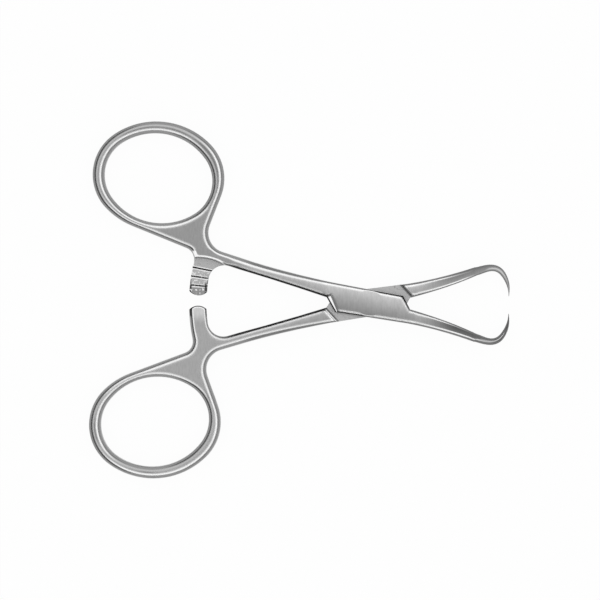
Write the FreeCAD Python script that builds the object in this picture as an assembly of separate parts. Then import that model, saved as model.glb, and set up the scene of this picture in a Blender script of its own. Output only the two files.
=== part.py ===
import FreeCAD, Part
import math
import os

# Towel clamp with a box lock, lying flat with its points to +X.
# Millimetres. The origin is on the pivot axis, on the underside of the box.
# The halves are alike in plan and mirror each other in the X axis. The box half's
# ring is on the +Y side and its jaw on the -Y side. The tongue half is the same
# forging turned over, thinned in the middle so that it passes through the box.

# Box lock
box_thickness = 4.8
plate_thickness = 1.3           # each of the box's two plates
tongue_clearance = 0.05         # between the tongue and each plate
shoulder_distance = 7.5         # pivot to the shoulders, and to the slot's end walls
shoulder_heading = 46.6         # degrees from +X to the shoulder line, tongue half
shoulder_foot = 0.45            # hollow radius where a shoulder meets the tongue
shoulder_bevel = 0.25           # bevel on a shoulder's upper edge
box_left_corner = (-7.1, -2.0)  # plan corner of the plates below the ring side
box_right_corner = (7.05, 1.6)  # plan corner of the plates above the jaw side
box_edge = 0.4                  # rounding along the box's long edges
slant_bevel_slope = 35.0        # degrees that the plates' slanted ends are bevelled at
slant_bevel_arm = 0.95          # plan width of the left one's bevel, at the arm
slant_bevel_corner = 0.45       # and at the box's corner
slant_bevel_right = 0.35        # plan width of the right one's

# Pivot pin, pressed in the plates and riveted flush
pin_radius = 1.6
pin_head_radius = 1.95
pin_head_depth = 0.4
pin_clearance = 0.05            # radial, round the pin in the tongue

# Finger ring, placed from the pivot by a radius and an angle from the X axis
ring_thickness = 3.3            # of the ring, the web and the shank's outer face
ring_reach = 15.55              # radius from the shank's centre line to the ring's
ring_angle = 30.15
ring_outer_length = 27.6
ring_outer_width = 23.0
ring_outer_tilt = -5.4          # degrees, long axis from the X axis
ring_end_band = 2.45            # between the outline and the hole, at the ends
ring_side_band = 2.15           # and at the long sides
ring_hole_drop = 0.35           # hole's centre, toward the X axis
ring_hole_tilt = -10.9
ring_end_relief = 1.3           # tighter ends' plan radius, short of half the outer width
ring_edge = 0.9                 # rounding of the ring and of the web's outer side

# Web between ring, arm and ratchet shank
web_outer_length = 9.1          # straight outer side from the arm to the neck's corner
web_outer_fillet = 4.25
web_ring_fillet = 2.5
web_shank_fillet = 3.3
inner_edge = 0.4                # rounding of the arm's and shank's inner side

# Ratchet shank, an arc about the pivot
shank_radius = 35.9
shank_width = 3.7
shank_root_angle = 15.6         # where its outer side leaves the web, from the X axis
shank_end_angle = 3.0           # corners of the free end
shank_end_bulge = 0.8           # how far the free end stands out in plan
tooth_first_angle = 4.7         # crest nearest the free end
tooth_pitch_angle = 2.85
tooth_count = 3
tooth_depth = 0.6
tooth_face_run = 0.35           # plan length of the steep locking face
crest_clearance = 0.05          # from each crest to the mid plane
cutter_angle = -2.9             # axis of the cutter that leaves the ratchet's floor
cutter_radius = 11.0            # at the web's top
cutter_run = 0.3                # less at the floor, so that the step leans a little

# Arm from the web to the box: X, Y of its centre line, width, outer rounding
arm_heading = -17.2
arm_web_reach = 6.1             # radius from the shank's inner side to the arm's end
arm_web_angle = 16.1
arm_web_width = 2.4
arm_stations = [
    (-21.13, 6.09, 2.4, 0.9),
    (-14.99, 4.39, 2.7, 0.7),
]
arm_box_end = (-8.53, 2.67)
arm_box_width = 3.3
arm_box_heading = -14.0

# Jaw from the box to its bend: X, Y of its centre line, width, thinning from the
# box, rounding
jaw_box_end = (8.21, -2.67)
jaw_box_width = 3.0
jaw_box_heading = -12.0
jaw_stations = [
    (12.52, -3.73, 2.6, 0.4, 0.5),
    (17.42, -5.2, 2.2, 1.1, 0.65),
    (22.3, -6.98, 1.75, 1.9, 0.65),
]

# Hook from the jaw's last station round the bend to the sharp point: X, Y, width,
# thickness, rounding
hook_stations = [
    (25.1, -7.7, 1.42, 2.3, 0.6),
    (27.1, -7.3, 1.22, 1.9, 0.52),
    (28.35, -5.85, 0.95, 1.5, 0.42),
    (29.0, -4.3, 0.62, 1.0, 0.28),
    (29.22, -3.0, 0.3, 0.5, 0.13),
    (29.22, -1.85, 0.08, 0.1, 0.035),
]

mid_height = box_thickness / 2
tongue_thickness = box_thickness - 2 * plate_thickness - 2 * tongue_clearance
shank_inner = shank_radius - shank_width / 2
shank_outer = shank_radius + shank_width / 2
past_surface = 1.0              # how far cutting tools stand out of what they cut
touching = 0.005                # places nearer to each other than this are the same


def up(height):
    return FreeCAD.Vector(0, 0, height)


def point(plan, height=0.0):
    return FreeCAD.Vector(plan[0], plan[1], height)


def toward(degrees):
    """Unit vector in plan at this angle from +X."""
    angle = math.radians(degrees)
    return FreeCAD.Vector(math.cos(angle), math.sin(angle), 0)


def behind(radius, angle, height=0.0):
    """Point at a radius from the pivot axis and an angle behind it."""
    return toward(180 - angle) * radius + up(height)


def arm_web_end():
    return behind(shank_inner - arm_web_reach, arm_web_angle)


def prism(corners, bottom, top):
    """Upright prism over a plan polygon."""
    loop = [point(corner, bottom) for corner in corners]
    loop.append(loop[0])
    return Part.Face(Part.makePolygon(loop)).extrude(up(top - bottom))


def oval_hubs(centre, length, width, tilt, end_radius):
    """Centres and radius of an oval's flatter arcs, and the centres of its end arcs."""
    long_offset = length / 2 - end_radius
    short_offset = width / 2 - end_radius
    side_offset = (long_offset ** 2 - short_offset ** 2) / (2 * short_offset)
    side_hubs = [centre + toward(tilt + 90) * side_offset * sign for sign in (1, -1)]
    end_hubs = [centre + toward(tilt) * long_offset * sign for sign in (1, -1)]
    return side_hubs, width / 2 + side_offset, end_hubs


def oval_prism(oval, bottom, top):
    """Upright prism over an oval of four arcs that run smoothly into each other."""
    centre, length, width, tilt, end_radius = oval
    side_hubs, side_radius, end_hubs = oval_hubs(*oval)
    half_length = toward(tilt) * (length / 2)
    half_width = toward(tilt + 90) * (width / 2)

    def join(side_hub, end_hub):
        ray = (end_hub - side_hub).normalize()
        return side_hub + ray * side_radius

    front, back = end_hubs
    upper, lower = side_hubs
    ends = [join(upper, front), join(lower, front), join(lower, back), join(upper, back)]
    extremes = [centre + half_length, centre + half_width, centre - half_length, centre - half_width]
    edges = []
    for index in range(4):
        arc = Part.Arc(ends[index], extremes[index], ends[(index + 1) % 4])
        edges.append(arc.toShape())
    face = Part.Face(Part.Wire(edges))
    face.translate(up(bottom))
    return face.extrude(up(top - bottom))


def on_oval(oval, place):
    """Whether a plan point lies on an oval's outline."""
    side_hubs, side_radius, end_hubs = oval_hubs(*oval)
    misses = [abs((place - hub).Length - side_radius) for hub in side_hubs]
    misses += [abs((place - hub).Length - oval[-1]) for hub in end_hubs]
    return min(misses) < touching


def tangent_point(hub, radius, outside, side):
    """Where the line from an outside point touches a circle, on its side +1 or -1."""
    offset = outside - hub
    angle = math.degrees(math.atan2(offset.y, offset.x) + side * math.acos(radius / offset.Length))
    return hub + toward(angle) * radius


def section(centre, heading, outward, width, thickness, outer_round, inner_round):
    """Upright rounded rectangle across a limb. Outward is +1 where the limb's outer
    side is to the left of its heading, -1 where it is to the right."""
    across = toward(heading + 90 * outward)
    middle = point(centre, mid_height)
    corners = [(1, 1, outer_round), (-1, 1, inner_round), (-1, -1, inner_round), (1, -1, outer_round)]
    starts, middles, ends = [], [], []
    for side, level, radius in corners:
        hub = middle + across * side * (width / 2 - radius) + up(level * (thickness / 2 - radius))
        flat = up(level * radius)
        wall = across * side * radius
        turn = (flat + wall) * math.sqrt(0.5)
        first, last = (wall, flat) if side == level else (flat, wall)
        starts.append(hub + first)
        middles.append(hub + turn)
        ends.append(hub + last)
    edges = []
    for index in range(4):
        edges.append(Part.Arc(starts[index], middles[index], ends[index]).toShape())
        following = starts[(index + 1) % 4]
        edges.append(Part.makeLine(ends[index], following))
    return Part.Wire(edges)


def headings(places, first, last):
    """Heading at each place on a limb, in degrees, from a smooth curve through them."""
    curve = Part.BSplineCurve()
    points = [point(place) for place in places]
    curve.interpolate(Points=points, InitialTangent=toward(first), FinalTangent=toward(last))
    found = []
    for place in points:
        tangent = curve.tangent(curve.parameter(place))[0]
        found.append(math.degrees(math.atan2(tangent.y, tangent.x)))
    return found


def arm():
    """Tapering limb from the web to the box."""
    web_end = arm_web_end()
    rows = [(web_end.x, web_end.y, arm_web_width, ring_edge)]
    rows += arm_stations
    rows.append(arm_box_end + (arm_box_width, box_edge))
    angles = headings([row[:2] for row in rows], arm_heading, arm_box_heading)
    run = arm_box_end[0] - web_end.x
    wires = []
    for (x, y, width, rounding), heading in zip(rows, angles):
        share = (x - web_end.x) / run
        thickness = ring_thickness + (box_thickness - ring_thickness) * share
        wires.append(section((x, y), heading, 1, width, thickness, rounding, inner_edge))
    return Part.makeLoft(wires, True, False)


def jaw():
    """Tapering limb from the box round the hook to its sharp point."""
    rows = [jaw_box_end + (jaw_box_width, box_thickness, box_edge)]
    for x, y, width, thinning, rounding in jaw_stations:
        rows.append((x, y, width, box_thickness - thinning, rounding))
    rows += hook_stations
    angles = headings([row[:2] for row in rows], jaw_box_heading, 90)
    wires = []
    for (x, y, width, thickness, rounding), heading in zip(rows, angles):
        inner = min(inner_edge, rounding)
        wires.append(section((x, y), heading, -1, width, thickness, rounding, inner))
    bend = len(jaw_stations)
    straight = Part.makeLoft(wires[:bend + 1], True, False)
    return straight.fuse(Part.makeLoft(wires[bend:], True, False))


def fillet_where(shape, radius, wanted):
    """Round every edge of a shape that passes a test on its middle point."""
    chosen = []
    for edge in shape.Edges:
        middle = edge.valueAt((edge.FirstParameter + edge.LastParameter) / 2)
        if wanted(edge, middle):
            chosen.append(edge)
    return shape.makeFillet(radius, chosen)


def fillet_upright(shape, radius, corner):
    """Round the upright edge at a plan corner."""
    def at_corner(edge, middle):
        return abs(middle.x - corner.x) < touching and abs(middle.y - corner.y) < touching
    return fillet_where(shape, radius, at_corner)


def radial_prism(angle, profile):
    """Bar across the shank along the radius at this angle behind the pivot. Its
    profile lists plan distance toward the web, and height."""
    outward = toward(180 - angle)
    to_web = toward(90 - angle)
    start = outward * (shank_radius - shank_width)
    loop = [start + to_web * run + up(height) for run, height in profile]
    loop.append(loop[0])
    return Part.Face(Part.makePolygon(loop)).extrude(outward * (2 * shank_width))


def shank_prism(bottom, top):
    """Upright prism over the curved shank, from the web to well past its free end."""
    angles = (shank_root_angle, shank_root_angle / 2, -shank_end_angle)
    outer_side = [behind(shank_outer, angle, bottom) for angle in angles]
    inner_side = [behind(shank_inner, angle, bottom) for angle in angles]
    edges = [
        Part.Arc(*outer_side).toShape(),
        Part.makeLine(outer_side[-1], inner_side[-1]),
        Part.Arc(*reversed(inner_side)).toShape(),
        Part.makeLine(inner_side[0], outer_side[0]),
    ]
    return Part.Face(Part.Wire(edges)).extrude(up(top - bottom))


def shank_end_tool():
    """What is cut from the shank to leave its convex free end."""
    tip_angle = shank_end_angle - math.degrees(shank_end_bulge / shank_radius)
    corner_out = behind(shank_outer, shank_end_angle)
    corner_in = behind(shank_inner, shank_end_angle)
    rest = [
        corner_in,
        behind(shank_inner - shank_width, shank_end_angle),
        behind(shank_inner - shank_width, -2 * shank_end_angle),
        behind(shank_outer + shank_width, -2 * shank_end_angle),
        behind(shank_outer + shank_width, shank_end_angle),
        corner_out,
    ]
    end = Part.Arc(corner_out, behind(shank_radius, tip_angle), corner_in).toShape()
    outline = Part.Wire([end] + Part.makePolygon(rest).Edges)
    return Part.Face(outline).extrude(up(box_thickness))


def handle():
    """Finger ring, web and ratchet shank as one flat forging of even thickness."""
    bottom = mid_height - ring_thickness / 2
    top = mid_height + ring_thickness / 2
    ring_centre = behind(shank_radius + ring_reach, ring_angle)
    ring_end_radius = ring_outer_width / 2 - ring_end_relief
    ring = (ring_centre, ring_outer_length, ring_outer_width, ring_outer_tilt, ring_end_radius)
    hole = (
        ring_centre - toward(90) * ring_hole_drop,
        ring_outer_length - 2 * ring_end_band,
        ring_outer_width - 2 * ring_side_band,
        ring_hole_tilt,
        ring_end_radius - ring_side_band,
    )
    side_hubs, side_radius, end_hubs = oval_hubs(*ring)

    along = toward(arm_heading)
    across = toward(arm_heading + 90)
    arm_outer = arm_web_end() + across * (arm_web_width / 2)
    arm_inner = arm_web_end() - across * (arm_web_width / 2)
    outer_corner = arm_outer - along * web_outer_length
    outer_touch = tangent_point(end_hubs[0], ring_end_radius, outer_corner, 1)
    ring_corner = behind(shank_outer, shank_root_angle)
    ring_touch = tangent_point(side_hubs[0], side_radius, ring_corner, -1)
    half_chord = math.sqrt(shank_inner ** 2 - arm_inner.dot(across) ** 2)
    shank_corner = across * arm_inner.dot(across) - along * half_chord
    corners = [arm_outer, outer_corner, outer_touch, ring_centre,
               ring_touch, ring_corner, shank_corner, arm_inner]

    body = prism(corners, bottom, top)
    body = body.fuse(oval_prism(ring, bottom, top))
    body = body.fuse(shank_prism(bottom, top)).removeSplitter()
    body = fillet_upright(body, web_outer_fillet, outer_corner)
    body = fillet_upright(body, web_ring_fillet, ring_corner)
    body = fillet_upright(body, web_shank_fillet, shank_corner)

    def on_rim(edge, middle):
        flat = min(abs(middle.z - bottom), abs(middle.z - top)) < touching
        at_arm = abs((middle - arm_outer).dot(along)) < touching
        past_end = middle.y < 0
        return flat and not at_arm and not past_end

    def on_inner_side(middle):
        below_arm = (middle - arm_web_end()).dot(across) < 0
        return below_arm and math.hypot(middle.x, middle.y) < shank_radius

    def on_outer_rim(edge, middle):
        return on_rim(edge, middle) and not on_inner_side(middle)

    def on_inner_rim(edge, middle):
        return on_rim(edge, middle) and on_inner_side(middle)

    body = fillet_where(body, ring_edge, on_outer_rim)
    body = fillet_where(body, inner_edge, on_inner_rim)
    body = body.cut(oval_prism(hole, bottom, top))

    def on_hole(edge, middle):
        flat = min(abs(middle.z - bottom), abs(middle.z - top)) < touching
        return flat and on_oval(hole, point((middle.x, middle.y)))

    return fillet_where(body, ring_edge, on_hole)


def ratchet(body):
    """Cut the handle's shank down to a toothed floor below the mid plane."""
    crest = mid_height - crest_clearance
    floor = crest - tooth_depth
    web_top = mid_height + ring_thickness / 2
    lean = cutter_run / (web_top - floor)
    cutter_foot = behind(shank_radius, cutter_angle, floor)
    cut_down = body.cut(Part.makeCone(
        cutter_radius - cutter_run, cutter_radius + lean * past_surface,
        web_top + past_surface - floor, cutter_foot))
    pitch = shank_radius * math.radians(tooth_pitch_angle)
    ramp_run = pitch - tooth_face_run
    for index in range(tooth_count):
        angle = tooth_first_angle + index * tooth_pitch_angle
        tooth = radial_prism(angle, [(-ramp_run, floor), (0, crest), (tooth_face_run, floor)])
        cut_down = cut_down.fuse(tooth.common(body))
    return cut_down.cut(shank_end_tool()).removeSplitter()


def box_plan():
    """Plan corners of the box: arm outer and inner, then round by the jaw."""
    arm_across = toward(arm_box_heading + 90) * (arm_box_width / 2)
    jaw_across = toward(jaw_box_heading - 90) * (jaw_box_width / 2)
    return [
        point(arm_box_end) + arm_across,
        point(arm_box_end) - arm_across,
        point(box_left_corner),
        point(jaw_box_end) + jaw_across,
        point(jaw_box_end) - jaw_across,
        point(box_right_corner),
    ]


def box_rail(limb_end, limb_heading, limb_width, outward, corner, far_corner):
    """Straight run of a limb's section on to the box's slanted far end, whose plan
    corners are given with the limb's side first."""
    slant = corner - far_corner
    half_slant = slant.Length / 2
    slant_heading = math.degrees(math.atan2(slant.y, slant.x)) - 90 * outward
    end_middle = corner - slant / 4
    return Part.makeLoft([
        section(limb_end, limb_heading, outward, limb_width, box_thickness, box_edge, inner_edge),
        section((end_middle.x, end_middle.y), slant_heading, outward, half_slant,
                box_thickness, box_edge, inner_edge),
    ], True, True)


def box_block():
    """Solid block of the box, its two long sides rounded like the arm and jaw."""
    arm_outer, arm_inner, left_corner, jaw_outer, jaw_inner, right_corner = box_plan()
    arm_rail = box_rail(arm_box_end, arm_box_heading, arm_box_width, 1, right_corner, jaw_inner)
    jaw_rail = box_rail(jaw_box_end, jaw_box_heading, jaw_box_width, -1, left_corner, arm_inner)
    core = prism([
        point(arm_box_end),
        arm_inner,
        left_corner + (arm_inner - left_corner) / 4,
        point(jaw_box_end),
        jaw_inner,
        right_corner + (jaw_inner - right_corner) / 4,
    ], 0, box_thickness)
    return core.fuse([arm_rail, jaw_rail])


def edge_bevel(start, end, start_width, end_width, level):
    """Cutting wedge for the top edge (level 1) or bottom (-1) along a plan line, with
    the bevel's plan width at the line's two ends. It starts square and runs out past
    the line's end. The solid lies left of the line."""
    inward = up(1).cross((end - start).normalize())
    first = start + inward * start_width
    last = end + inward * end_width
    along = (last - first).normalize()
    outward = along.cross(up(1))
    fall = up(-level * math.tan(math.radians(slant_bevel_slope)))
    reach = max(start_width, end_width) + past_surface
    corners = [
        outward * -past_surface - fall * past_surface,
        outward * reach + fall * reach,
        outward * reach - fall * past_surface,
    ]
    origin = first + up(mid_height + level * box_thickness / 2)
    loop = [origin + corner for corner in corners]
    loop.append(loop[0])
    run = (last - first).Length + past_surface
    return Part.Face(Part.makePolygon(loop)).extrude(along * run)


def band(profile_edges):
    """Cutting bar over the pivot between the shoulder lines, in the box half's plan,
    from edges drawn with X across the bar and Z up."""
    tool = Part.Face(Part.Wire(profile_edges))
    tool = tool.extrude(FreeCAD.Vector(0, 2 * shoulder_distance, 0))
    tool.translate(FreeCAD.Vector(0, -shoulder_distance, 0))
    tool.rotate(up(0), up(1), shoulder_heading - 90)
    return tool


def slot_tool():
    """The box's slot, open on both long sides, between two upright end walls."""
    bottom = plate_thickness
    top = box_thickness - plate_thickness
    corners = [(-shoulder_distance, bottom), (shoulder_distance, bottom),
               (shoulder_distance, top), (-shoulder_distance, top)]
    loop = [FreeCAD.Vector(x, 0, z) for x, z in corners]
    loop.append(loop[0])
    return band([Part.makePolygon(loop)])


def shoulder_tool():
    """What is taken off above the tongue, with hollow feet and bevelled shoulders."""
    floor = mid_height + tongue_thickness / 2
    top = box_thickness + past_surface
    bevel_start = box_thickness - shoulder_bevel
    flare = shoulder_distance + top - bevel_start
    turn = shoulder_foot * (1 - math.sqrt(0.5))

    def at(x, z):
        return FreeCAD.Vector(x, 0, z)

    right_foot = Part.Arc(
        at(shoulder_distance, floor + shoulder_foot),
        at(shoulder_distance - turn, floor + turn),
        at(shoulder_distance - shoulder_foot, floor))
    left_foot = Part.Arc(
        at(shoulder_foot - shoulder_distance, floor),
        at(turn - shoulder_distance, floor + turn),
        at(-shoulder_distance, floor + shoulder_foot))
    return band([
        Part.makeLine(at(-flare, top), at(flare, top)),
        Part.makeLine(at(flare, top), at(shoulder_distance, bevel_start)),
        Part.makeLine(at(shoulder_distance, bevel_start), at(shoulder_distance, floor + shoulder_foot)),
        right_foot.toShape(),
        Part.makeLine(at(shoulder_distance - shoulder_foot, floor), at(shoulder_foot - shoulder_distance, floor)),
        left_foot.toShape(),
        Part.makeLine(at(-shoulder_distance, floor + shoulder_foot), at(-shoulder_distance, bevel_start)),
        Part.makeLine(at(-shoulder_distance, bevel_start), at(-flare, top)),
    ])


def turned_over(shape):
    """The same shape rolled half a turn about the long axis at mid height."""
    copy = shape.copy()
    copy.rotate(up(mid_height), FreeCAD.Vector(1, 0, 0), 180)
    return copy


def pivot_pin():
    """Plain pin with both ends spread into the plates' countersinks, ground flush."""
    pin = Part.makeCylinder(pin_radius, box_thickness)
    lower_head = Part.makeCone(pin_head_radius, pin_radius, pin_head_depth)
    return pin.fuse([lower_head, turned_over(lower_head)]).removeSplitter()


def forging():
    """What both halves share: ring, web, ratchet, arm and jaw."""
    return ratchet(handle()).fuse([arm(), jaw()])


def box_half():
    corners = box_plan()
    block = box_block()
    for level in (1, -1):
        left = edge_bevel(corners[1], corners[2], slant_bevel_arm, slant_bevel_corner, level)
        right = edge_bevel(corners[4], corners[5], slant_bevel_right, slant_bevel_right, level)
        block = block.cut([left, right])
    body = forging().fuse(block)
    return body.cut(slot_tool()).cut(pivot_pin()).removeSplitter()


def tongue_half():
    tool = shoulder_tool()
    body = forging().fuse(box_block())
    body = body.cut(tool).cut(tool.mirror(up(mid_height), up(1)))
    body = body.cut(Part.makeCylinder(pin_radius + pin_clearance, box_thickness))
    return turned_over(body.removeSplitter())


os.makedirs("parts", exist_ok=True)
box_half().exportStep("parts/box_half.step")
tongue_half().exportStep("parts/tongue_half.step")
pivot_pin().exportStep("parts/pivot_pin.step")
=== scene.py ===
import math

import bpy
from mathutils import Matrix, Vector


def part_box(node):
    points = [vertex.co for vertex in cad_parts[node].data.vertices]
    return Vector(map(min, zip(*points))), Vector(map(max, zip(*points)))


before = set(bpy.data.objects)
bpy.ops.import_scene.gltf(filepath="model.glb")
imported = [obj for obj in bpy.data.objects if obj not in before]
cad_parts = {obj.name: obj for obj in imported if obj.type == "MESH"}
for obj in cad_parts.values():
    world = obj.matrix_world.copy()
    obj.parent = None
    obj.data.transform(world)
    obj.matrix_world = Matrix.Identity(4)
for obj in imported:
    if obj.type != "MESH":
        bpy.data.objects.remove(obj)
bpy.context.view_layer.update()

# Photograph's frame, in metres and degrees
photo_scale = 0.00021               # the clamp's length in a pixel
photo_pixels = 600
photo_roll = 0.83                   # the clamp lies turned clockwise
photo_middle = (-0.014498, 0.00042)
camera_height = 0.9
sensor_width = 36                   # millimetres

# Lengths from here on are in millimetres, with X from the pivot towards the points.
# A reach is a pair of values: a share is 0 at its first and 1 at its second
millimetre = 0.001
mid_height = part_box("pivot_pin")[1].z / 2 / millimetre

# Reaches of the places on the clamp
box_reach = (10.5, 9.0)             # X, either way
box_left_end = (-4, -6)
box_right_end = (4, 6)
plate_level = (1.5, 1.65)           # from mid height, as the next one
tongue_level = (1.2, 1.1)
pin_reach = (2.9, 2.4)              # from the pivot
upper_half = (-1, 1)                # Y
jaw_reach = (9.5, 15.0)
jaw_tone_reach = (8.5, 18.5)
bow_reach = (19, 22.5)
arm_left_end = (-34, -27)
arm_right_end = (-6, -8)
handle_reach = (-24, -27)
ring_reach = (18.0, 21.0)           # Y, either way
shank_left = (-42, -41)
shank_right = (-28, -30)
shank_middle = -35.85               # X, not a reach
ratchet_left = (-41, -40.5)
ratchet_right = (-29, -29.5)
ratchet_out = (11.2, 10.8)          # Y, either way
ratchet_level = (0.76, 0.72)        # from mid height

# Shoulder line of the tongue half, left of the box. The right one is it turned about the pivot
shoulder_crossing = -8.8            # X where the line meets the clamp's middle
shoulder_slope = 1.53               # how far Y falls along it for each millimetre of X
shoulder_reach = (-0.2, 0.3)

# Bevel at the left end of the box's plates, from the plates' corner
bevel_corner = (-7.1, -2.0)
bevel_inward = (0.874, 0.486)       # X and Y of the way into the plate
# Painted black shade strip, then a painted highlight strip, inward from the bevel's outer edge
bevel_highlight_start = (0.25, -0.02)   # at the corner, and its change along the bevel
bevel_highlight_end = (0.40, 0.1)
bevel_start_blur = 0.05
bevel_end_blur = 0.06

# Slopes of the middle lines of arms, box and jaws in plan
arm_slope = 0.28
box_slope = -0.2
jaw_slope = 0.31
face_half_width = 3.2
jaw_half_width = 1

# Radii of the rounding of worn edges
face_rounding = 1.15
handle_rounding = 1.3
jaw_rounding = 0.4
jaw_rounding_reach = (7.0, 22.0)
shank_rounding = 0.7
ratchet_rounding = 0.4

# Reaches in tilt from flat, in degrees
wall_slope = (50, 70)
# Painted highlight lines, painted flank shade and painted dark lines in the flanks begin and end at these
# tilts
highlight_tilt = (3, 6)
jaw_upper_highlight_tilt = (10, 13)
jaw_lower_highlight_tilt = (6, 9)
flank_tilt = (17, 21)
jaw_flank_tilt = (24, 28)
shade_line_start_tilt = (13, 16)
shade_line_end_tilt = (36, 30)
eased_tilt = (8, 40)

# Spacings of the grains along X, Y and Z
mark_spacing = (0.25, 1.4, 1.4)
cloud_spacing = (2, 2, 2)
dull_patch_spacing = (8, 8, 8)
speck_spacing = (0.3, 0.3, 0.3)
chip_spacing = (0.5, 0.5, 0.5)

# Steel's tones, from black 0 to white 1
cloud_tones = (0.42, 0.50)
# Painted light: the faces are lighter towards their upper edge, by the rise below
face_middle_level = 0.98            # times the cloud tone
face_painted_light_rise = 0.125             # for each millimetre up from the face's middle line
# Painted shade: the upper handle is darker than the lower one
lower_handle_tone = 0.44
upper_handle_tone = 0.35
dull_handle_tone = 0.22
# Painted highlight on the shank's end
shank_highlight = 0.55
# Painted dark reflection on the jaws, the lower one darker, falling further towards the upper edge
lower_jaw_tone = 0.15
upper_jaw_tone = 0.22
jaw_level_fall = 0.45               # for each millimetre up from the jaw's middle line
mark_levels = (0.95, 1.05)          # times the face's own
filed_tone = 0.46
speck_tone = 0.33
# The tones below are painted light laid over the ground: highlight lines round the faces, dark reflection
# on the flanks and dark lines in them, shade round the shanks' ends, on and beside the left bevel, on the
# tooth faces, in corners and beside the box, and highlights on the bevel, the tooth crests and the shelf's
# edge. The cut end's tone is not light, and the chip white also serves the chips.
highlight_tone = 0.78
box_highlight_tone = 0.92
ring_highlight_tones = (0.42, 0.88)      # away from and towards the light
flank_shade_tone = 0.2
handle_flank_shade_tone = 0.3
bevel_shade_tone = 0.16
bevel_highlight_white = 0.95
cut_end_tone = 0.3
chip_and_crest_highlight_white = 0.85
shelf_highlight_white = 0.92
shade_line_black = 0.07
tooth_shade_black = 0.06
end_outline_shade_black = 0.05
corner_shade_black = 0.04
box_shade_black = 0.02

# Steel's surface
ground_roughness = 0.3
filed_roughness = 0.42
worn_roughness = 0.25
flank_roughness = 0.45
mark_depth = 0.01
mark_strength = 0.4
corner_depth = 0.4
crown_lean = 0.03                   # for each millimetre up from the face's middle line

# Floor and studio
paper_tone = 0.9
paper_own_white = 0.96              # share of its own white in what is seen of it
floor_size = 8                      # metres
studio_levels = [                   # degrees above the horizon, and the light there
    (0, 0.85), (6, 0.85), (12, 0.5), (38, 0.55),
    (50, 1.25), (72, 1.25), (80, 1.05), (90, 0.95),
]
patch_direction = (-0.03, -0.17, 0.985)
patch_reach = (16, 4)               # degrees from the patch's middle
patch_level = 0.45


class Nodes:
    """Nodes of a material or the world. A value given to a node is a number, a vector or
    the output of another node."""

    def __init__(self, tree):
        self.nodes = tree.nodes
        self.links = tree.links

    def give(self, socket, value):
        if isinstance(value, bpy.types.NodeSocket):
            self.links.new(value, socket)
        else:
            socket.default_value = value

    def calculate(self, operation, *values):
        node = self.nodes.new("ShaderNodeMath")
        node.operation = operation
        for socket, value in zip(node.inputs, values):
            self.give(socket, value)
        return node.outputs[0]

    def chain(self, operation, values):
        result = values[0]
        for value in values[1:]:
            result = self.calculate(operation, result, value)
        return result

    def product(self, *values):
        return self.chain("MULTIPLY", values)

    def plus(self, *values):
        return self.chain("ADD", values)

    def largest(self, *values):
        return self.chain("MAXIMUM", values)

    def minus(self, first, second):
        return self.calculate("SUBTRACT", first, second)

    def rest(self, share):
        """What a share leaves of 1."""
        return self.calculate("SUBTRACT", 1, share)

    def absolute(self, value):
        return self.calculate("ABSOLUTE", value)

    def length(self, x, y):
        square = self.plus(self.product(x, x), self.product(y, y))
        return self.calculate("SQRT", square)

    def limited(self, value, limit):
        """The value, but no further from 0 than the limit."""
        return self.calculate("MINIMUM", self.calculate("MAXIMUM", value, -limit), limit)

    def share(self, value, reach):
        """0 to 1 over the reach, smooth between."""
        node = self.nodes.new("ShaderNodeMapRange")
        node.interpolation_type = "SMOOTHSTEP"
        self.give(node.inputs["Value"], value)
        self.give(node.inputs["From Min"], reach[0])
        self.give(node.inputs["From Max"], reach[1])
        return node.outputs["Result"]

    def blend(self, share, first, second):
        """The first number where the share is 0, the second where it is 1."""
        node = self.nodes.new("ShaderNodeMix")
        self.give(node.inputs[0], share)
        self.give(node.inputs[2], first)
        self.give(node.inputs[3], second)
        return node.outputs[0]

    def between(self, share, first, second):
        """A reach that goes from the first to the second with the share."""
        return [self.blend(share, start, end) for start, end in zip(first, second)]

    def falling(self, middle, blur):
        """A reach from above the middle to below it."""
        return self.plus(middle, blur), self.minus(middle, blur)

    def parts(self, vector):
        node = self.nodes.new("ShaderNodeSeparateXYZ")
        self.give(node.inputs[0], vector)
        return node.outputs

    def vector(self, *values):
        node = self.nodes.new("ShaderNodeCombineXYZ")
        for socket, value in zip(node.inputs, values):
            self.give(socket, value)
        return node.outputs[0]

    def of_vectors(self, operation, *vectors):
        """Outputs of an operation on one or two vectors."""
        node = self.nodes.new("ShaderNodeVectorMath")
        node.operation = operation
        for socket, vector in zip(node.inputs, vectors):
            self.give(socket, vector)
        return node.outputs

    def turn(self, vector, before, after):
        """A direction on the axes of the world or the object, given on the other's."""
        node = self.nodes.new("ShaderNodeVectorTransform")
        node.vector_type = "VECTOR"
        node.convert_from = before
        node.convert_to = after
        self.give(node.inputs[0], vector)
        return node.outputs[0]

    def angle(self, upright):
        """Degrees from flat of a surface whose normal has this Z."""
        cosine = self.calculate("MINIMUM", self.absolute(upright), 1)
        return self.calculate("DEGREES", self.calculate("ARCCOSINE", cosine))


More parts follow.
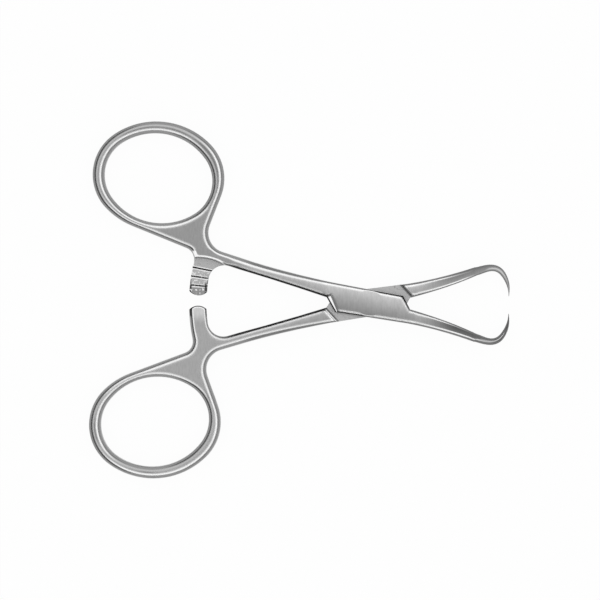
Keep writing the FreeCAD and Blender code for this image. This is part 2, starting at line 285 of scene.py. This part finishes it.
class SatinSteel(Nodes):
    """Ground steel: satin faces with fine marks across the length, a painted highlight line
    round each of them, painted dark reflection on the flanks outside it and a matte tongue and ratchet.

    The methods that start with find keep shares, which say how far a point lies in a
    place or on an edge. Those that end with tone give tones. A lean is a part of the
    surface's normal, so it goes from -1 to 1."""

    def __init__(self, name):
        self.material = bpy.data.materials.new(name)
        self.material.use_nodes = True
        super().__init__(self.material.node_tree)
        self.place = self.nodes.new("ShaderNodeTexCoord")
        self.measure()
        self.find_places()
        self.find_box()
        self.soften_edges()
        self.find_highlight_lines()
        self.find_flanks()
        self.find_bevels()
        self.find_shade()
        self.find_teeth()
        self.find_middle()
        self.marks = self.noise(mark_spacing, 3.0, 0.6)
        shader = self.nodes["Principled BSDF"]
        shader.inputs["Metallic"].default_value = 1
        self.give(shader.inputs["Base Color"], self.tone())
        self.give(shader.inputs["Roughness"], self.roughness())
        self.give(shader.inputs["Normal"], self.normal())

    def noise(self, spacing, detail, rough):
        """Cloudy pattern, 0 to 1, with its grains this far apart."""
        mapping = self.nodes.new("ShaderNodeMapping")
        mapping.inputs["Scale"].default_value = [1 / (length * millimetre) for length in spacing]
        self.give(mapping.inputs["Vector"], self.place.outputs["Object"])
        node = self.nodes.new("ShaderNodeTexNoise")
        node.inputs["Scale"].default_value = 1
        node.inputs["Detail"].default_value = detail
        node.inputs["Roughness"].default_value = rough
        self.give(node.inputs["Vector"], mapping.outputs["Vector"])
        return node.outputs["Fac"]

    def measure(self):
        """Where the point lies and how its surface leans. The ratchets' teeth are where
        the toothed height is more than 0."""
        metres = self.parts(self.place.outputs["Object"])
        self.x, self.y, z = [self.product(part, 1 / millimetre) for part in metres]
        self.normal_x, self.normal_y, normal_z = self.parts(self.place.outputs["Normal"])
        self.x_away = self.absolute(self.x)
        self.y_away = self.absolute(self.y)
        self.side = self.calculate("SIGN", self.y)
        height = self.minus(z, mid_height)
        self.level = self.absolute(height)
        self.toothed_height = self.product(self.side, height)
        self.wall = self.share(self.angle(normal_z), wall_slope)
        self.facing_up = self.rest(self.wall)

    def find_places(self):
        self.pin = self.share(self.length(self.x, self.y), pin_reach)
        self.upper = self.share(self.y, upper_half)
        self.jaws = self.share(self.x, jaw_reach)
        self.handles = self.share(self.x, handle_reach)
        self.ring = self.product(self.share(self.y_away, ring_reach), self.handles)
        self.shank = self.product(self.share(self.x, shank_left), self.share(self.x, shank_right))
        self.ratchet = self.product(
            self.share(self.x, ratchet_left),
            self.share(self.x, ratchet_right),
            self.share(self.y_away, ratchet_out),
            self.share(self.level, ratchet_level),
        )
        self.smooth_handles = self.product(self.handles, self.rest(self.ratchet))

    def find_box(self):
        self.near_box = self.share(self.x_away, box_reach)
        self.plates = self.product(self.near_box, self.share(self.level, plate_level))
        self.tongue = self.product(self.near_box, self.share(self.level, tongue_level))
        self.matte = self.largest(self.tongue, self.ratchet)
        self.past_left_shoulder = self.past_shoulder(self.x, self.y)
        self.past_right_shoulder = self.past_shoulder(self.product(self.x, -1), self.product(self.y, -1))

    def past_shoulder(self, x, y):
        """Share of the box's side of the left shoulder line, which is straight in plan."""
        line = self.product(self.minus(x, shoulder_crossing), shoulder_slope)
        return self.share(self.plus(y, line), shoulder_reach)

    def soften_edges(self):
        """Edges rounded by wear, but for the pin's and the tongue's. The softened normal
        is kept on the clamp's own axes, so that the wear turns with each half."""
        radius = self.blend(self.smooth_handles, face_rounding, handle_rounding)
        radius = self.blend(self.share(self.x, jaw_rounding_reach), radius, jaw_rounding)
        shank_end = self.product(self.shank, self.share(self.y_away, (8.5, 5.5)))
        at_shelf = self.product(
            self.shank,
            self.share(self.toothed_height, (1.2, 1.3)),
            self.share(self.y_away, (11.0, 10.4)),
        )
        radius = self.blend(self.largest(shank_end, at_shelf), radius, shank_rounding)
        radius = self.blend(self.ratchet, radius, ratchet_rounding)
        radius = self.blend(self.largest(self.tongue, self.pin), radius, 0)
        rounding = self.nodes.new("ShaderNodeBevel")
        rounding.samples = 16
        self.give(rounding.inputs["Radius"], self.product(radius, millimetre))
        softened = self.turn(rounding.outputs["Normal"], "WORLD", "OBJECT")
        self.soft_x, self.soft_y, self.soft_z = self.parts(softened)
        self.tilt = self.angle(self.soft_z)
        self.x_lean = self.absolute(self.soft_x)
        self.y_lean = self.absolute(self.soft_y)
        self.outward = self.product(self.side, self.soft_y)
        self.lengthwise = self.minus(self.x_lean, self.product(self.y_lean, 0.6))

    def find_highlight_lines(self):
        """Painted highlight lines round the faces. They fade on the upper edges towards the bows and
        leave out a strip inside the right end of the box's plates."""
        lower_edge = self.share(self.soft_y, (0.0, -0.08))
        jaw_tilt = self.between(lower_edge, jaw_upper_highlight_tilt, jaw_lower_highlight_tilt)
        line = self.share(self.tilt, self.between(self.jaws, highlight_tilt, jaw_tilt))
        upper_edge = self.product(self.share(self.soft_y, (0.02, 0.1)), self.share(self.x, (14.5, 20)))
        line = self.product(line, self.rest(self.product(upper_edge, 0.8)))
        line = self.blend(self.share(self.x, bow_reach), line, self.bow_line())
        inside_end = self.product(
            self.share(self.lengthwise, (0.0, 0.01)),
            self.share(self.lengthwise, (0.13, 0.1)),
            self.share(self.x, box_right_end),
            self.plates,
        )
        self.worn = self.product(line, self.facing_up, self.rest(self.matte), self.rest(inside_end))

    def bow_line(self):
        """Painted highlight line that runs from the bow's lower edge to its middle, where the lean is
        near one that goes from 0.25 down to none. It is fainter midway."""
        from_lean = self.plus(self.soft_y, self.blend(self.share(self.x, (21, 27)), 0.25, 0))
        line = self.share(self.length(self.soft_x, from_lean), (0.17, 0.09))
        midway = self.product(self.share(self.x, (21, 24)), self.share(self.x, (28.2, 26.5)))
        return self.product(line, self.rest(self.product(midway, 0.45)))

    def find_flanks(self):
        """Painted dark reflection on the flanks outside the highlight lines, painted dark lines in those
        of the rings and shanks, stronger where the surface faces left, and a painted black shade line
        round the shanks' ends."""
        tilt = self.between(self.jaws, flank_tilt, jaw_flank_tilt)
        self.flank = self.product(self.share(self.tilt, tilt), self.facing_up, self.rest(self.ratchet))
        left = self.share(self.soft_x, (-0.08, -0.2))
        right = self.product(self.share(self.soft_x, (0.12, 0.25)), 0.5)
        self.shade_line = self.product(
            self.share(self.tilt, shade_line_start_tilt),
            self.share(self.tilt, shade_line_end_tilt),
            self.largest(left, right),
            self.facing_up,
            self.smooth_handles,
        )
        self.end_outline = self.product(self.flank, self.shank, self.share(self.y_away, (3.6, 3.0)))

    def find_bevels(self):
        """Slanted ends of the box's plates. The left bevel has a painted black shade strip along its
        outer edge, a painted white highlight strip inside it and a grey line of painted shade inside that,
        all in plan. The shoulder that meets it is outside the strips and goes by its tilt. The right
        bevel is a flank, with the flanks' painted dark reflection."""
        lean = self.absolute(self.normal_x)
        on_left = self.share(self.x, box_left_end)
        self.left_bevel = self.product(self.share(lean, (0.33, 0.43)), self.plates, on_left)
        on_right = self.share(self.x, box_right_end)
        right_bevel = self.product(self.share(lean, (0.2, 0.3)), self.plates, on_right)
        self.flank = self.largest(self.flank, right_bevel)

        inward, along = self.measure_bevel()
        white_start = self.plus(self.product(along, bevel_highlight_start[1]), bevel_highlight_start[0])
        white_end = self.plus(self.product(along, bevel_highlight_end[1]), bevel_highlight_end[0])
        black = self.share(inward, self.falling(white_start, bevel_start_blur))
        white = self.share(inward, self.falling(white_end, bevel_end_blur))
        white = self.product(white, self.rest(black))
        on_strips = self.share(inward, (-0.3, -0.15))
        white = self.blend(on_strips, self.share(self.tilt, (20, 24)), white)
        black = self.blend(on_strips, self.share(self.tilt, (50, 53)), black)
        self.bevel_highlight_white = self.product(self.left_bevel, white)
        self.bevel_shade_black = self.product(self.left_bevel, black)
        self.beside_bevel = self.product(
            self.share(self.soft_x, (-0.03, -0.08)),
            self.share(self.x, (-5.5, -6.5)),
            self.share(self.y_lean, (0.3, 0.2)),
            self.plates,
        )

    def measure_bevel(self):
        """How far the point lies in from the left bevel's outer edge, and along it."""
        right = self.minus(self.x, bevel_corner[0])
        above = self.minus(self.y, bevel_corner[1])
        x_way, y_way = bevel_inward
        inward = self.plus(self.product(right, x_way), self.product(above, y_way))
        along = self.minus(self.product(above, x_way), self.product(right, y_way))
        return inward, along

    def find_shade(self):
        """Painted black shade on the inner sides of the arms, where the tongue passes under the plates'
        edges, on end faces at the box and along the left bevel."""
        inner_side = self.product(
            self.share(self.x, arm_left_end),
            self.share(self.x, arm_right_end),
            self.share(self.lengthwise, (0.05, 0.0)),
            self.share(self.outward, (-0.16, -0.24)),
        )
        over_tongue = self.product(
            self.share(self.product(self.x, self.y), (0.5, 4)),
            self.share(self.tilt, (16, 22)),
            self.near_box,
            self.past_right_shoulder,
        )
        end_faces = self.product(self.near_box, self.share(self.x_lean, (0.5, 0.6)))
        beside_box = self.product(
            self.largest(over_tongue, end_faces),
            self.past_left_shoulder,
            self.rest(self.left_bevel),
        )
        black = self.largest(inner_side, beside_box, self.bevel_shade_black)
        self.black = self.product(black, self.facing_up)

    def find_teeth(self):
        """Painted shade on the ratchet's steep tooth faces, a painted highlight on the crest beside each,
        its painted dark outline towards the cut end, chips, and a painted highlight on the edge of the
        shelf that it is cut down from."""
        across = self.product(self.side, self.normal_y)
        tooth_wall = self.product(self.ratchet, self.share(across, (0.3, 0.5)))
        rise = self.minus(self.outward, across)
        self.crest = self.product(self.ratchet, self.share(rise, (0.04, 0.09)))
        self.cut_end = self.product(self.ratchet, self.share(self.y_away, (2.8, 2.6)))
        end_corners = self.product(
            self.share(self.absolute(self.minus(self.x, shank_middle)), (1.25, 1.5)),
            self.share(self.y_away, (3.9, 3.3)),
            self.ratchet,
        )
        sides = self.largest(self.share(self.x_lean, (0.12, 0.25)), self.share(self.outward, (-0.5, -0.6)))
        outline = self.product(sides, self.share(self.y_away, (6, 3.5)), self.ratchet)
        self.tooth_shade_black = self.largest(tooth_wall, outline, end_corners)
        self.chips = self.product(
            self.share(self.noise(chip_spacing, 2.0, 0.6), (0.58, 0.64)),
            self.share(self.y_away, (7.5, 5.5)),
            self.share(self.tilt, (2, 5)),
            self.ratchet,
        )
        self.shelf = self.product(
            self.share(self.x, (-37.4, -36.8)),
            self.share(self.x, (-30.4, -31.0)),
            self.share(self.y_away, (10.6, 10.2)),
            self.share(self.y_away, (7.0, 7.5)),
            self.share(self.toothed_height, (1.25, 1.35)),
            self.share(self.outward, (-0.05, -0.12)),
        )

    def find_middle(self):
        """Length up across the face from the middle line of the box or the arm, no more
        than half its width, and 0 on the handles."""
        arm_middle = self.product(self.side, self.x_away, arm_slope)
        box_middle = self.product(self.x, box_slope)
        on_plates = self.product(self.near_box, self.past_left_shoulder, self.past_right_shoulder)
        from_middle = self.minus(self.y, self.blend(on_plates, arm_middle, box_middle))
        from_middle = self.limited(from_middle, face_half_width)
        self.from_middle = self.product(from_middle, self.rest(self.handles))

    def face_tone(self):
        """Clouded satin, with painted light: lighter towards the upper edge, as light falls on the crowned
        face.
        """
        clouded = self.blend(self.noise(cloud_spacing, 2.0, 0.5), *cloud_tones)
        rise = self.product(self.from_middle, face_painted_light_rise)
        return self.product(clouded, self.plus(rise, face_middle_level))

    def handle_tone(self):
        """Two plain tones, the upper half darker as painted shade, with dull patches in the rings and a
        painted highlight on the shank's end.
        """
        tone = self.blend(self.upper, lower_handle_tone, upper_handle_tone)
        patches = self.share(self.noise(dull_patch_spacing, 1.0, 0.5), (0.4, 0.6))
        tone = self.blend(self.product(self.ring, patches), tone, dull_handle_tone)
        painted_shine = self.product(self.shank, self.share(self.y_away, (5.0, 2.4)), shank_highlight)
        return self.product(tone, self.plus(painted_shine, 1))

    def jaw_tone(self):
        """Painted dark reflection, darker on the lower jaw, and darker still towards the upper edge."""
        tone = self.blend(self.upper, lower_jaw_tone, upper_jaw_tone)
        jaw_middle = self.product(self.side, self.x, jaw_slope)
        from_middle = self.limited(self.minus(self.y, jaw_middle), jaw_half_width)
        return self.product(tone, self.rest(self.product(from_middle, jaw_level_fall)))

    # Tone of the painted highlight lines: lighter on the box, and on the rings lighter on the side towards
    # the light
    def highlight_line_tone(self):
        to_light = self.share(self.minus(self.soft_x, self.soft_y), (-0.1, 0.1))
        tone = self.blend(self.near_box, highlight_tone, box_highlight_tone)
        return self.blend(self.ring, tone, self.blend(to_light, *ring_highlight_tones))

    def ground_tone(self):
        """Faces with their fine marks, and the filed tongue and ratchets with specks."""
        tone = self.blend(self.smooth_handles, self.face_tone(), self.handle_tone())
        tone = self.blend(self.share(self.x, jaw_tone_reach), tone, self.jaw_tone())
        marked = self.blend(self.share(self.marks, (0.35, 0.65)), *mark_levels)
        specks = self.share(self.noise(speck_spacing, 1.0, 0.5), (0.62, 0.7))
        filed = self.blend(specks, filed_tone, speck_tone)
        return self.blend(self.matte, self.product(tone, marked), filed)

    def corners(self):
        """Share of painted shade in inner corners, from their occlusion."""
        node = self.nodes.new("ShaderNodeAmbientOcclusion")
        node.samples = 8
        node.only_local = True
        node.inputs["Distance"].default_value = corner_depth * millimetre
        return self.share(node.outputs["AO"], (0.75, 0.35))

    def tone(self):
        """The steel's tone: the ground one, with each layer laid over those before it."""
        # All these layers but the cut end and the chips are painted light: highlight lines, dark
        # reflection on the flanks, dark lines, shade round the shanks' ends, shade on and beside the left
        # bevel and a highlight strip on it, black shade, highlights on the tooth crests, shade on the
        # tooth faces, shade in corners and a highlight on the shelf's edge
        layers = [
            (self.worn, self.highlight_line_tone()),
            (self.flank, self.blend(self.smooth_handles, flank_shade_tone, handle_flank_shade_tone)),
            (self.shade_line, shade_line_black),
            (self.end_outline, end_outline_shade_black),
            (self.largest(self.left_bevel, self.beside_bevel), bevel_shade_tone),
            (self.bevel_highlight_white, bevel_highlight_white),
            (self.black, box_shade_black),
            (self.crest, chip_and_crest_highlight_white),
            (self.cut_end, cut_end_tone),
            (self.tooth_shade_black, tooth_shade_black),
            (self.chips, chip_and_crest_highlight_white),
            (self.corners(), corner_shade_black),
            (self.shelf, shelf_highlight_white),
        ]
        tone = self.ground_tone()
        for share, over in layers:
            tone = self.blend(share, tone, over)
        return tone

    def roughness(self):
        rough = self.blend(self.matte, ground_roughness, filed_roughness)
        rough = self.blend(self.worn, rough, worn_roughness)
        return self.blend(self.flank, rough, flank_roughness)

    def normal(self):
        """The softened normal. Faces are crowned by grinding and carry fine marks, edges
        lean less than their rounding would make them, and walls stay as they are."""
        keep = self.blend(self.share(self.tilt, eased_tilt), 1, 0.36)
        keep = self.blend(self.left_bevel, keep, 0.3)
        keep = self.blend(self.wall, keep, 1)
        least_upright = self.blend(self.wall, 0.8, 0)
        upright = self.largest(self.absolute(self.soft_z), least_upright)
        crowned = self.rest(self.largest(self.matte, self.worn))
        crown = self.product(self.from_middle, crown_lean, crowned)
        eased = self.vector(
            self.product(self.soft_x, keep),
            self.plus(self.product(self.soft_y, keep), crown),
            self.product(self.calculate("SIGN", self.soft_z), upright),
        )
        turned = self.turn(eased, "OBJECT", "WORLD")
        bump = self.nodes.new("ShaderNodeBump")
        bump.inputs["Strength"].default_value = mark_strength
        bump.inputs["Distance"].default_value = mark_depth * millimetre
        self.give(bump.inputs["Height"], self.marks)
        self.give(bump.inputs["Normal"], self.of_vectors("NORMALIZE", turned)["Vector"])
        return bump.outputs["Normal"]


def dress_clamp():
    steel = SatinSteel("satin_steel").material
    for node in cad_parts.values():
        node.data.materials.clear()
        node.data.materials.append(steel)


def camera():
    """Straight above the middle of the photograph, with the lens that frames it."""
    made = bpy.data.cameras.new("camera")
    made.sensor_width = sensor_width
    made.lens = sensor_width * camera_height / (photo_scale * photo_pixels)
    made.clip_start = 0.01
    made.clip_end = 20
    seen = bpy.data.objects.new("camera", made)
    seen.location = (*photo_middle, camera_height)
    seen.rotation_euler = (0, 0, math.radians(photo_roll))
    bpy.context.scene.collection.objects.link(seen)
    bpy.context.scene.camera = seen


def white_paper():
    """White paper. What camera, metal and glass see of it is mostly its own white,
    so that the clamp's shadow on it stays faint."""
    material = bpy.data.materials.new("white_paper")
    material.use_nodes = True
    paper = Nodes(material.node_tree)
    shader = paper.nodes["Principled BSDF"]
    shader.inputs["Base Color"].default_value = (paper_tone, paper_tone, paper_tone, 1)
    shader.inputs["Roughness"].default_value = 1
    shader.inputs["Specular IOR Level"].default_value = 0
    white = paper.nodes.new("ShaderNodeEmission")
    white.inputs["Strength"].default_value = 1
    ray = paper.nodes.new("ShaderNodeLightPath").outputs
    rays = paper.plus(ray["Is Camera Ray"], ray["Is Glossy Ray"], ray["Is Transmission Ray"])
    mix = paper.nodes.new("ShaderNodeMixShader")
    paper.give(mix.inputs[0], paper.limited(paper.product(rays, paper_own_white), 1))
    paper.give(mix.inputs[1], shader.outputs[0])
    paper.give(mix.inputs[2], white.outputs[0])
    paper.give(paper.nodes["Material Output"].inputs["Surface"], mix.outputs[0])
    return material


def floor():
    bpy.ops.mesh.primitive_plane_add(size=floor_size, location=(0, 0, 0))
    plane = bpy.context.object
    plane.name = "paper_floor"
    plane.data.materials.append(white_paper())


def studio():
    """Soft light by height above the horizon: a grey ceiling, a bright ring round it,
    a dark wall below that and a pale horizon, with a dimmer patch near the top."""
    world = bpy.data.worlds.new("studio")
    world.use_nodes = True
    light = Nodes(world.node_tree)
    direction = light.nodes.new("ShaderNodeTexCoord").outputs["Generated"]
    ramp = light.nodes.new("ShaderNodeValToRGB")
    stops = ramp.color_ramp.elements
    while len(stops) < len(studio_levels):
        stops.new(0.5)
    for stop, (elevation, level) in zip(stops, studio_levels):
        stop.position = math.sin(math.radians(elevation))
        stop.color = (level, level, level, 1)
    light.give(ramp.inputs["Fac"], light.parts(direction)["Z"])
    toward_patch = light.of_vectors("DOT_PRODUCT", direction, patch_direction)["Value"]
    patch = light.share(toward_patch, [math.cos(math.radians(away)) for away in patch_reach])
    level = light.product(ramp.outputs["Color"], light.blend(patch, 1, patch_level))
    background = light.nodes["Background"]
    background.inputs["Strength"].default_value = 1
    light.give(background.inputs["Color"], level)
    bpy.context.scene.world = world


dress_clamp()
camera()
floor()
studio()
bpy.context.scene.view_settings.view_transform = "Standard"
